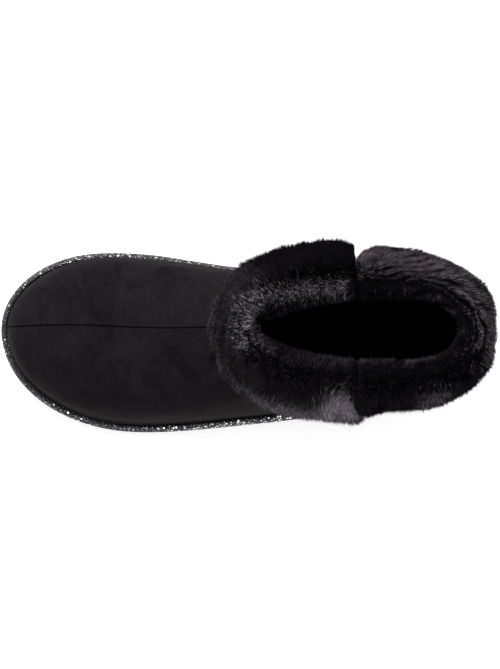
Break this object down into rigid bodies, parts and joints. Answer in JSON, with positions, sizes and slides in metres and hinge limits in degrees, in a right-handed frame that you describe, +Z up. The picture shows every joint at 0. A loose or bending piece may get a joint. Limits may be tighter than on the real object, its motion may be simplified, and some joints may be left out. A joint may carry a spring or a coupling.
{
  "type": "bootie slipper",
  "caption": "Ankle-high indoor slipper in black suede with a thick turned-down fur cuff, a soft platform sole and a sparkly knit band round the sole.",
  "frame": {"origin": "on the floor under the middle of the heel seat", "axes": "+X from heel to toe, +Y to the outer (lateral) side of the left foot, +Z up"},
  "size_m": [0.2545, 0.1001, 0.1318],
  "materials": {
    "rubber": "matte",
    "foam": "matte",
    "sparkle_knit": "black knit with silver metallic yarn",
    "suede": "brushed microsuede",
    "fleece": "short dark pile",
    "fur": "long faux fur, charcoal with grey tips"
  },
  "bodies": {
    "root": {"outsole": "rubber", "platform": "foam", "platform_wrap": "sparkle_knit", "upper": "suede", "insole": "fleece", "cuff_front": "fur", "cuff_back": "fur"}
  },
  "joints": []
}
